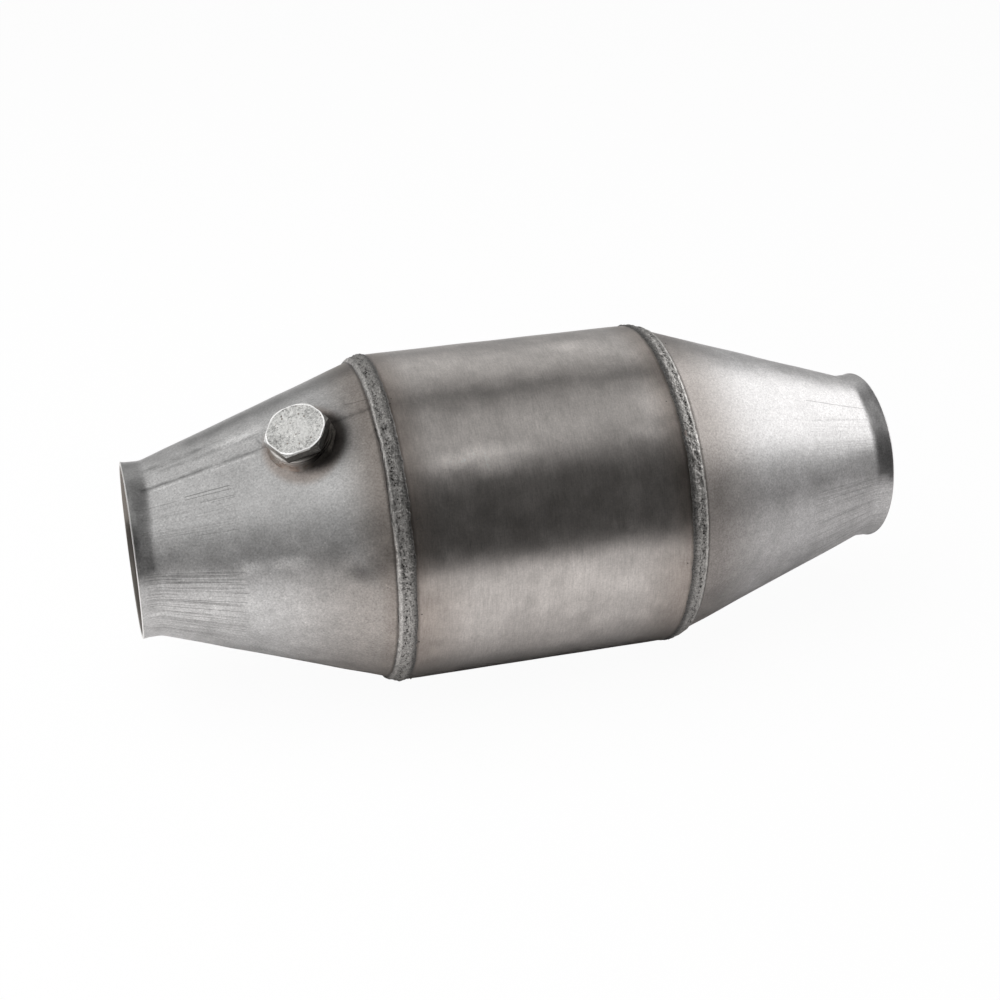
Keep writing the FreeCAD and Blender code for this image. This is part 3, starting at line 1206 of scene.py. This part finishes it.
@dataclass(frozen=True)
class PortFrame:
    """The sensor port's own axes: up the cone, round it, and square to it."""

    sizes: Sizes = SIZES

    @property
    def axes(self) -> tuple[np.ndarray, np.ndarray, np.ndarray, np.ndarray]:
        """The port's own frame.

        Returns:
            Its foot on the cone's outer side, and its directions up the cone, round it and outward.
        """
        s = self.sizes
        spoke = np.array([0.0, -math.sin(s.boss_clock), math.cos(s.boss_clock)])
        forward = np.array([1.0, 0.0, 0.0])
        along = forward * math.cos(s.cone_angle) + spoke * math.sin(s.cone_angle)
        outward = -forward * math.sin(s.cone_angle) + spoke * math.cos(s.cone_angle)
        station = s.cone_start + s.boss_setback
        foot = -forward * station + spoke * s.cone_radius(station)
        return foot, along, np.cross(outward, along), outward

    def placed(self, u: np.ndarray, v: np.ndarray, w: np.ndarray) -> np.ndarray:
        """Points of the port.

        Args:
            u: Distances up the cone.
            v: Distances round it.
            w: Heights over it.

        Returns:
            The points, with X, Y and Z along the last axis.
        """
        foot, along, across, outward = self.axes
        u, v, w = np.broadcast_arrays(u, v, w)
        return foot + u[..., None] * along + v[..., None] * across + w[..., None] * outward

    def turned(self, rings: Sequence[tuple[float, float]], turn: int) -> np.ndarray:
        """Rings about the port's axis.

        Args:
            rings: Radius and height over the cone of each ring.
            turn: How many points a ring has.

        Returns:
            A grid of points, ring by turn.
        """
        section = np.array(rings)
        angle = np.linspace(0, FULL_TURN, turn, endpoint=False)[None, :]
        radius, height = section[:, 0][:, None], section[:, 1][:, None]
        return self.placed(radius * np.cos(angle), radius * np.sin(angle), height)

    def cone_height(self, u: np.ndarray, v: np.ndarray) -> np.ndarray:
        """How high the cone's outer side lies near the port.

        Args:
            u: Distances up the cone from the port's axis.
            v: Distances round it.

        Returns:
            Heights along the port's axis.
        """
        s = self.sizes
        height = np.zeros(np.broadcast(u, v).shape)
        for _ in range(6):
            spot = self.placed(u, v, height)
            gap = np.hypot(spot[..., 1], spot[..., 2]) - s.cone_radius(-spot[..., 0])
            height = height - gap * math.cos(s.cone_angle)
        return height


@dataclass
class SensorPort:
    """The threaded boss, the weld round it, the sealing ring and the hexagon plug."""

    port: PortFrame = PortFrame()
    turn: int = 180
    boss_radius: float = 12.0
    boss_foot: float = -6.1
    boss_top: float = 1.9
    bore_radius: float = 9.05
    weld_leg: float = 1.2
    ring_radius: float = 12.0
    ring_top: float = 3.2
    across_flats: float = 22.0
    head_top: float = 7.7
    bevel_width: float = 1.45
    bevel: float = math.radians(37.0)
    face_shift: float = 0.25
    face_shift_turn: float = math.radians(228.0)
    # Direction across the port of its painted shade, on the side away from the light.
    shade_turn: float = math.radians(-38.0)
    head_turn: float = math.radians(2.1)
    shank_radius: float = 9.0
    shank_tip: float = -5.8
    thread_pitch: float = 1.5
    thread_depth: float = 0.9
    edge_wear: float = 0.16
    face_sink: float = 0.10
    face_rings: int = 24
    face_dents: Ripple = Ripple(51, 0.035, 6.0, 1.2, 60, 8.0)
    head_turn_steps: int = 480
    weld_turn_steps: int = 360
    weld_lumps: Ripple = Ripple(41, 0.16, 14.0, 2.0, 30, 12.0)
    weld_grain: Ripple = Ripple(42, 0.05, 2.5, 0.8, 30, 12.0)

    @property
    def face_radius(self) -> float:
        """The circle to which the head's corners are turned off on its face."""
        return self.across_flats / 2 / math.cos(FULL_TURN / 12) - self.bevel_width

    def build(self) -> None:
        """Builds and dresses the four pieces."""
        self._build_boss()
        self._build_weld()
        self._build_ring()
        self._build_plug()

    def _build_boss(self) -> None:
        """The turned boss, with broken edges."""
        outer, bore, edge = self.boss_radius, self.bore_radius, 0.35
        section = [
            (outer - edge, self.boss_foot), (outer, self.boss_foot + edge),
            (outer, self.boss_top - edge), (outer - edge, self.boss_top),
            (bore + 0.6, self.boss_top), (bore, self.boss_top - 0.6),
            (bore, self.boss_foot + 0.6), (bore + 0.6, self.boss_foot),
        ]
        piece = make_ring("port_boss", self.port.turned(section, self.turn), 25.0)
        finish = self._turned("boss_steel", (0.86, 0.80, 0.755), 0.42)
        fit(piece, "sensor_boss", finish.material())

    def _build_weld(self) -> None:
        """The uneven fillet weld that follows the cone round the boss."""
        angle = np.linspace(0, FULL_TURN, self.weld_turn_steps, endpoint=False)[None, :]
        lumps = self.weld_lumps(0.0, angle)
        part = np.linspace(0, 1, 9)[:, None]
        leg = self.weld_leg + lumps
        radius = self.boss_radius - 0.02 + leg * part
        over = (self.weld_leg * 1.1 + lumps) * (1 - part**1.5) ** 0.8 - 0.06
        over = over + self.weld_grain(part * 2, angle) * np.sin(math.pi * part)
        radius = np.vstack([radius, radius[-1:] - 0.3, radius[:1]])
        over = np.vstack([over, over[-1:] - 0.25, over[-1:] - 0.25])
        u, v = radius * np.cos(angle), radius * np.sin(angle)
        points = self.port.placed(u, v, self.port.cone_height(u, v) + over)
        piece = make_ring("port_weld", points, 50.0)
        finish = BossWeldMetal(tuple(self.port.axes[0]), self._heading(self.shade_turn))
        fit(piece, "boss_weld", finish.material())

    def _build_ring(self) -> None:
        """The sealing ring, squeezed a little, with rounded edges."""
        inner, outer, low, high = self.shank_radius + 0.1, self.ring_radius, self.boss_top, self.ring_top
        edge = 0.3
        section = [
            (inner, low), (outer - edge, low), (outer - 0.09, low + 0.09), (outer, low + edge),
            (outer, high - edge), (outer - 0.09, high - 0.09), (outer - edge, high), (inner, high),
        ]
        piece = make_ring("port_sealing_ring", self.port.turned(section, self.turn), 50.0)
        finish = self._turned("ring_metal", (0.84, 0.81, 0.77), 0.40)
        fit(piece, "sealing_ring", finish.material())

    def _hexagon(self, angle: np.ndarray, inset: float) -> np.ndarray:
        """The hexagon's outline.

        Args:
            angle: Angles about the port's axis.
            inset: How far the flats are moved in.

        Returns:
            The radius at each angle.
        """
        sixth = FULL_TURN / 6
        off = (angle - self.head_turn) % sixth - sixth / 2
        return (self.across_flats / 2 - inset) / np.cos(off)

    def _build_plug(self) -> None:
        """The plug: a hexagon head whose corners are turned off, on a threaded shank."""
        angle = np.linspace(0, FULL_TURN, self.head_turn_steps, endpoint=False)[None, :]
        # The head's worn edges, in its shape.
        low, high, worn_and_shaded = self.ring_top, self.head_top, self.edge_wear
        tan = math.tan(self.bevel)
        rows = []
        drop = self.bevel_width * tan
        steps = (drop + 0.1, drop, drop - 0.05, drop * 0.75, drop * 0.5, 0.3, 0.2, 0.12, 0.05, 0.0)
        for height in (low, low + 0.12, low + 0.3, low + 1.2, low + 2.4, *(high - step for step in steps)):
            near_foot = max(0.0, 1 - (height - low) / 0.3) ** 2
            near_face = max(0.0, 1 - (high - height) / 0.25) ** 2
            inset = worn_and_shaded * near_foot + worn_and_shaded * 0.9 * near_face
            turned = self.face_radius - inset + (high - height) / tan
            aside = angle - self.face_shift_turn
            across = self.face_shift * np.sin(aside)
            turned = self.face_shift * np.cos(aside) + np.sqrt(turned**2 - across**2)
            rows.append((np.minimum(self._hexagon(angle, inset), turned), height))
        radius = np.vstack([r for r, _ in rows])
        height = np.array([h for _, h in rows])[:, None] + 0 * angle
        rim = radius[-1:]
        for part in np.linspace(1, 0, self.face_rings + 2)[1:-1]:
            sag = -self.face_sink * fade(np.array([[1 - part]]), 0.04, 0.2)
            reach = part * self.across_flats / 2
            spread = reach * np.sin(angle) / self.face_dents.radius
            rough = self.face_dents(reach * np.cos(angle), spread)
            radius = np.vstack([radius, rim * part])
            height = np.vstack([height, high + sag + rough * min(1.0, (1 - part) * 10)])
        shank = self._shank()
        radius = np.vstack([np.array([r for r, _ in shank])[:, None] + 0 * angle, radius])
        height = np.vstack([np.array([h for _, h in shank])[:, None] + 0 * angle, height])
        points = self.port.placed(radius * np.cos(angle), radius * np.sin(angle), height)
        piece = make_capped("port_hexagon_plug", points, 38.0)
        foot, _, _, outward = self.port.axes
        turns = [self.head_turn + FULL_TURN / 12 * (2 * number + 1) for number in range(3)]
        flats = tuple(self._heading(turn) for turn in turns)
        middle = np.array(foot) + self.face_shift * np.array(self._heading(self.face_shift_turn))
        finish = PlugSteel(
            tuple(outward), tuple(foot), flats, tuple(middle), high, self.face_radius,
            self.across_flats / 2, self._heading(self.shade_turn),
        )
        fit(piece, "port_plug", finish.material())

    def _turned(self, name: str, colour: Colour, rough: float) -> TurnedSteel:
        """The finish of a turned piece of the port, with painted shade on one side."""
        return TurnedSteel(name, colour, rough, tuple(self.port.axes[0]), self._heading(self.shade_turn))

    def _heading(self, turn: float) -> Triple:
        """The direction across the port at an angle about its axis."""
        _, along, across, _ = self.port.axes
        return tuple(along * math.cos(turn) + across * math.sin(turn))

    def _shank(self) -> list[tuple[float, float]]:
        """The threaded shank's section.

        Returns:
            Radius and height of each point, from the tip up to the head.
        """
        core = self.shank_radius - self.thread_depth
        rows = [(core - 0.6, self.shank_tip), (core, self.shank_tip + 0.6)]
        height = self.shank_tip + 1.0
        while height + self.thread_pitch < self.boss_top:
            rows.append((core, height))
            rows.append((self.shank_radius, height + 0.62))
            rows.append((self.shank_radius, height + 0.88))
            height += self.thread_pitch
        rows.append((core, height))
        rows.append((self.shank_radius - 0.1, self.ring_top - 0.2))
        return rows


@dataclass
class FoilMatrix:
    """The wound honeycomb: a smooth foil and a corrugated one, rolled up together."""

    thickness: float = 0.2
    pitch: float = 3.6
    core: float = 2.0
    wave_length: float = 8.4
    least_wave: float = 1.0
    film: float = 0.01
    edge_radius: float = 63.39
    length: float = 90.0
    steps_to_wave: int = 12

    def build(self) -> None:
        """Builds and dresses both foils."""
        smooth = CoatedFoil("smooth_foil_coat", (0.80, 0.76, 0.68))
        waved = CoatedFoil("corrugated_foil_coat", (0.86, 0.82, 0.74))
        turns = self._smooth_turns()
        middle = self._points(self._radius(turns), turns)
        piece = self._ribbon("smooth_foil_sheet", middle)
        fit(piece, "smooth_foil", smooth.material())
        piece = self._ribbon("corrugated_foil_sheet", self._wave_line(turns[-1]))
        fit(piece, "corrugated_foil", waved.material())

    def _radius(self, turns: np.ndarray) -> np.ndarray:
        """The smooth foil's middle radius after so many turns."""
        return np.minimum(self.core + self.pitch * turns, self.edge_radius)

    @staticmethod
    def _points(radius: np.ndarray, turns: np.ndarray) -> np.ndarray:
        """Points across the axis, with the first turn starting at +Y and going towards +Z."""
        angle = turns * FULL_TURN
        return np.stack([radius * np.cos(angle), radius * np.sin(angle)], axis=-1)

    def _smooth_turns(self) -> np.ndarray:
        """Where the smooth foil's points lie.

        Returns:
            How many turns from its inner end each point is.
        """
        last = (self.edge_radius - self.core) / self.pitch + 1 - 2 * self.thickness / self.pitch
        marks = [0.0]
        while marks[-1] < last:
            radius = float(self._radius(np.array(marks[-1])))
            marks.append(min(last, marks[-1] + min(1 / 36, 1.5 / (FULL_TURN * radius))))
        return np.array(marks)

    def _wave_line(self, last: float) -> np.ndarray:
        """The corrugated foil's middle line, which touches the smooth turn on each side by turns.

        Args:
            last: How many turns the smooth foil makes.

        Returns:
            Points across the axis, from the inner end.
        """
        half = self.thickness / 2
        turns, phase = 0.0, 0.0
        spots, radii = [], []
        while turns + 1 < last:
            low = float(self._radius(np.array(turns))) + half + self.film + half
            high = float(self._radius(np.array(turns + 1))) - half - self.film - half
            if high - low < self.least_wave - self.thickness:
                break
            middle = (low + high) / 2
            radii.append(middle - (high - low) / 2 * math.cos(phase))
            spots.append(turns)
            turns += min(0.125, self.wave_length / (FULL_TURN * middle)) / self.steps_to_wave
            phase += FULL_TURN / self.steps_to_wave
        return self._points(np.array(radii), np.array(spots))

    def _ribbon(self, name: str, line: np.ndarray) -> bpy.types.Object:
        """A foil of even thickness along a line across the axis.

        Args:
            name: The piece's name.
            line: The foil's middle line, as Y and Z.

        Returns:
            The new object.
        """
        way = np.gradient(line, axis=0)
        way /= np.linalg.norm(way, axis=1)[:, None]
        side = np.stack([way[:, 1], -way[:, 0]], axis=-1) * self.thickness / 2
        corners = []
        for edge, x in ((line + side, -1), (line + side, 1), (line - side, 1), (line - side, -1)):
            station = np.full((len(line), 1), x * self.length / 2)
            corners.append(np.hstack([station, edge]))
        points = np.stack(corners, axis=1)
        faces = [tuple(face) for face in grid_faces(len(line), 4, False, True)]
        faces.append((0, 1, 2, 3))
        faces.append(tuple(4 * (len(line) - 1) + corner for corner in (3, 2, 1, 0)))
        return make_piece(name, points.reshape(-1, 3), faces, 40.0)


# Studio


@dataclass(frozen=True)
class SoftBox:
    """A soft light in the room, seen as an evenly lit panel with blurred edges.

    The azimuth is taken from -Y, where the camera stands, towards +X.
    """

    azimuth: float
    elevation: float
    half_width: float
    half_height: float
    blur: float
    strength: float

    def glow(self, board: Board, heading: Socket) -> Socket:
        """The light that comes from a heading.

        Args:
            board: The world's board.
            heading: The direction looked in.

        Returns:
            Its strength.
        """
        turn, rise = math.radians(self.azimuth), math.radians(self.elevation)
        ahead = (math.sin(turn) * math.cos(rise), -math.cos(turn) * math.cos(rise), math.sin(rise))
        right = (math.cos(turn), math.sin(turn), 0.0)
        up = tuple(float(v) for v in np.cross(np.array(right), np.array(ahead)))
        depth = board.dot(heading, ahead)
        glow = depth.step(0.0, 0.1) * self.strength
        for side, half in ((right, self.half_width), (up, self.half_height)):
            edge = math.tan(math.radians(half))
            soft = math.tan(math.radians(half + self.blur)) - edge
            off = abs(board.dot(heading, side) / depth.most(0.05))
            glow = glow * off.step(edge + soft, max(0.0, edge - soft))
        return glow


@dataclass
class Studio:
    """The pale floor, the white surround, the soft lights and the camera."""

    soft_boxes: tuple[SoftBox, ...] = (
        SoftBox(100.0, 29.0, 32.0, 14.5, 6.0, 2.4),
        SoftBox(62.0, 6.0, 20.0, 20.0, 12.0, 0.45),
        SoftBox(-90.0, 52.0, 46.0, 17.0, 8.0, 1.08),
        SoftBox(70.0, 71.0, 26.0, 6.8, 5.5, 0.79),
        SoftBox(-36.0, 24.0, 30.0, 22.0, 12.0, 0.32),
    )
    ceiling: float = 0.27
    spill: float = 0.3
    backdrop: float = 0.68
    room: float = 0.045
    floor_height: float = -65.3
    table_edge: float = -450.0
    table_fade: float = 160.0
    floor_half: float = 3000.0
    floor_colour: Colour = (0.80, 0.79, 0.79)
    floor_white: float = 0.96
    lamp_power: float = 22.0
    lamp_size: float = 1.5
    lamp_place: Triple = (-0.45, -0.1, 1.05)
    lamp_lean: Triple = (math.radians(5.0), math.radians(-22.0), 0.0)
    lens: float = 65.37
    camera_place: Triple = (-0.1743, -0.6192, 0.3568)
    camera_right: Triple = (0.9645, -0.2640, 0.0)
    camera_up: Triple = (0.1281, 0.4679, 0.8745)

    def build(self) -> None:
        """Builds the studio round the converter."""
        self._light_world()
        self._lay_floor()
        self._hang_lamp()
        self._set_camera()
        bpy.context.scene.view_settings.view_transform = "Standard"

    def _light_world(self) -> None:
        """The room: white for the camera, with soft lights, a pale backdrop and a dim front."""
        world = bpy.data.worlds.new("studio_room")
        bpy.context.scene.world = world
        world.use_nodes = True
        world.cycles.sampling_method = "NONE"
        board = Board(world.node_tree)
        heading = board.node("ShaderNodeTexCoord", {}, {}, "Generated")
        path = board.node("ShaderNodeLightPath", {}, {}, "Is Camera Ray")
        seen = path.most(path.output("Is Glossy Ray")).most(path.output("Is Transmission Ray"))
        behind = board.dot(heading, (0.0, 1.0, 0.0))
        high = board.dot(heading, (0.0, 0.0, 1.0))
        wall = behind.step(0.25, 0.65) * high.step(0.86, 0.70) * self.backdrop
        glow = wall * (0.66 + 0.34 * high.step(0.28, 0.38))
        glow = glow.most(high.step(0.66, 0.84) * self.ceiling)
        for box in self.soft_boxes:
            glow = glow.most(box.glow(board, heading))
        glow = glow.most(self.room) * seen.most(self.spill)
        strength = path + (1 - path) * glow
        ground = board.node("ShaderNodeBackground", {}, {"Color": (1, 1, 1, 1), "Strength": strength})
        board.node("ShaderNodeOutputWorld", {}, {"Surface": ground})

    def _lay_floor(self) -> None:
        """A plain pale floor that keeps a faint shadow and shows white to the camera."""
        half = self.floor_half
        corners = [(-half, -half), (half, -half), (half, half), (-half, half)]
        points = np.array([(x, y, self.floor_height) for x, y in corners])
        floor = make_piece("studio_floor", points, [(0, 1, 2, 3)], 30.0)
        material, board = new_board("studio_floor")
        path = board.node("ShaderNodeLightPath", {}, {}, "Is Camera Ray")
        _, y, _ = board.parts(board.place())
        # Beyond the table's edge the floor is painted the dim room's value, painted shade seen only in
        # reflections.
        lit = path.most(y.step(self.table_edge, self.table_edge + self.table_fade))
        colour = board.mixed(lit, (self.room,) * 3, self.floor_colour)
        inputs = {"Base Color": colour, "Roughness": 1.0, "Specular IOR Level": 0.0}
        paint = board.node("ShaderNodeBsdfPrincipled", {}, inputs)
        white = board.node("ShaderNodeEmission", {}, {"Color": (1, 1, 1, 1), "Strength": 1.0})
        mixed = board.node("ShaderNodeMixShader", {}, {0: path * self.floor_white, 1: paint, 2: white})
        board.node("ShaderNodeOutputMaterial", {}, {"Surface": mixed})
        floor.data.materials.append(material)

    def _hang_lamp(self) -> None:
        """A large lamp overhead that lights the floor."""
        light = bpy.data.lights.new("overhead_lamp", "AREA")
        light.shape = "SQUARE"
        light.size = self.lamp_size
        light.energy = self.lamp_power
        lamp = bpy.data.objects.new("overhead_lamp", light)
        lamp.location = self.lamp_place
        lamp.rotation_euler = self.lamp_lean
        lamp.visible_glossy = False
        bpy.context.scene.collection.objects.link(lamp)

    def _set_camera(self) -> None:
        """The camera, in front, a little to the left and above."""
        view = bpy.data.cameras.new("camera")
        view.lens = self.lens
        view.sensor_width = 36.0
        view.clip_start = 0.01
        camera = bpy.data.objects.new("camera", view)
        right = Vector(self.camera_right)
        up = Vector(self.camera_up)
        back = right.cross(up)
        turn = Matrix((right, up, back)).transposed().to_4x4()
        camera.matrix_world = Matrix.Translation(self.camera_place) @ turn
        bpy.context.scene.collection.objects.link(camera)
        bpy.context.scene.camera = camera


# Patches multiplied into the inlet cone's colour, all painted light: painted shade where the depth is
# positive, painted highlights where it is negative.
INLET_PAINTED_LIGHT_AND_SHADE = (
    # Painted shadow of the plug on the cone, to its right and below.
    StainOrLightPatch((82.2, 25.4), (12.2, 10.6), 0.20, 0.87),
    StainOrLightPatch((80.5, 26.0), (14.3, 12.2), 0.40, 0.32),
    # Broad band of painted shade along the cone's top.
    ScratchOrShadeBand((124.0, -11.0), (58.0, -10.0), 10.0, 0.34),
    # Painted shade on the collar, standing in for its darker reflection.
    StainOrLightPatch((150.5, 12.0), (5.6, 34.0), 0.30, 0.36),
    StainOrLightPatch((150.5, 90.0), (5.6, 12.0), 0.30, 0.22),
    # Painted highlights of the reflected lights, with one line of painted shade among them.
    StainOrLightPatch((109.0, 8.0), (9.0, 3.2), 0.9, -0.40),
    StainOrLightPatch((112.0, 76.0), (4.0, 2.6), 0.7, -0.34),
    StainOrLightPatch((98.0, 74.5), (8.0, 2.0), 0.9, -0.36),
    StainOrLightPatch((74.0, 73.0), (6.0, 2.4), 0.9, -0.42),
    StainOrLightPatch((72.5, 80.0), (5.0, 1.8), 0.9, 0.30),
    StainOrLightPatch((78.0, 43.0), (7.0, 6.0), 0.9, -0.20),
)
INLET_STREAKS = (
    ScratchOrShadeBand((143.0, 3.0), (108.0, 5.0), 3.2, 0.32),
    ScratchOrShadeBand((138.0, 9.5), (92.0, 11.5), 2.4, 0.32),
    ScratchOrShadeBand((146.0, 20.9), (60.5, 19.7), 2.2, 0.26),
    ScratchOrShadeBand((146.0, 20.4), (122.0, 20.2), 1.5, 0.20),
    ScratchOrShadeBand((142.0, 23.2), (102.0, 22.4), 1.1, -0.26),
    ScratchOrShadeBand((102.5, 13.5), (101.0, 19.5), 0.7, 0.40),
)
INLET_SCORCHES = (StainOrLightPatch((86.8, 24.2), (14.6, 14.6), 0.12, 0.55),)
INLET_SCRATCHES = (
    ScratchOrShadeBand((145.0, 20.9), (60.5, 19.7), 0.75, 0.34),
    ScratchOrShadeBand((131.4, 34.0), (115.2, 34.5), 0.30, 0.85),
    ScratchOrShadeBand((131.6, 35.8), (114.8, 36.4), 0.27, 0.75),
    ScratchOrShadeBand((126.3, 39.5), (113.6, 40.0), 0.24, 0.6),
    ScratchOrShadeBand((122.5, 40.8), (113.8, 40.9), 0.22, 0.45),
    ScratchOrShadeBand((150.5, 34.9), (134.0, 35.0), 0.27, 0.5),
    ScratchOrShadeBand((130.4, 56.9), (114.5, 56.8), 0.27, 0.45),
    ScratchOrShadeBand((68.8, 13.6), (60.4, 15.0), 0.35, 0.5),
    ScratchOrShadeBand((68.1, 8.5), (69.1, 13.4), 0.25, 0.4),
)
INLET_COLOUR = (0.604, 0.598, 0.592)
OUTLET_COLOUR = (0.608, 0.598, 0.596)
OUTLET_TINT = (0.325, 0.295, 0.275)
# Patches that darken the outlet cone's colour.
OUTLET_DARKER_PATCHES = (
    # Painted shade on the collar, standing in for its darker reflection.
    StainOrLightPatch((150.5, 22.0), (5.0, 17.0), 0.30, 0.30),
    # A broad darkening towards the bottom of the cone.
    StainOrLightPatch((98.0, 96.0), (60.0, 24.0), 0.45, 0.14),
)
OUTLET_SCRATCHES = (
    ScratchOrShadeBand((117.0, 26.5), (144.0, 28.5), 0.28, 0.7),
    ScratchOrShadeBand((116.0, 39.0), (144.0, 37.5), 0.22, 0.45),
    ScratchOrShadeBand((117.0, 118.0), (146.0, 119.0), 0.28, 0.8),
)


def main() -> None:
    """Builds the converter, dresses it and sets the studio round it."""
    logging.basicConfig(level=logging.INFO, format="%(message)s")
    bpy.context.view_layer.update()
    Casing().build()
    inlet_finish = ConeSteel(
        "inlet_cone_steel", End.INLET, INLET_SCRATCHES, INLET_PAINTED_LIGHT_AND_SHADE, INLET_SCORCHES, INLET_STREAKS,
        lower_darkening=0.8, colour=INLET_COLOUR,
    )
    outlet_finish = ConeSteel(
        "outlet_cone_steel", End.OUTLET, OUTLET_SCRATCHES, OUTLET_DARKER_PATCHES, tint_reach=34.0, lower_darkening=0.3,
        mark_depth=0.40, colour=OUTLET_COLOUR, tint=OUTLET_TINT,
    )
    inlet_wave = Ripple(21, 0.05, 60.0, 14.0)
    outlet_wave = Ripple(22, 0.05, 60.0, 14.0)
    Cone(End.INLET, inlet_finish, inlet_wave, 0.12, port_hole_radius=12.02).build()
    Cone(End.OUTLET, outlet_finish, outlet_wave, 0.10).build()
    weld = WeldMetal().material()
    WeldBead(End.INLET, 31).build(weld)
    WeldBead(End.OUTLET, 32).build(weld)
    SensorPort().build()
    FoilMatrix().build()
    Studio().build()


if __name__ == "__main__":
    main()
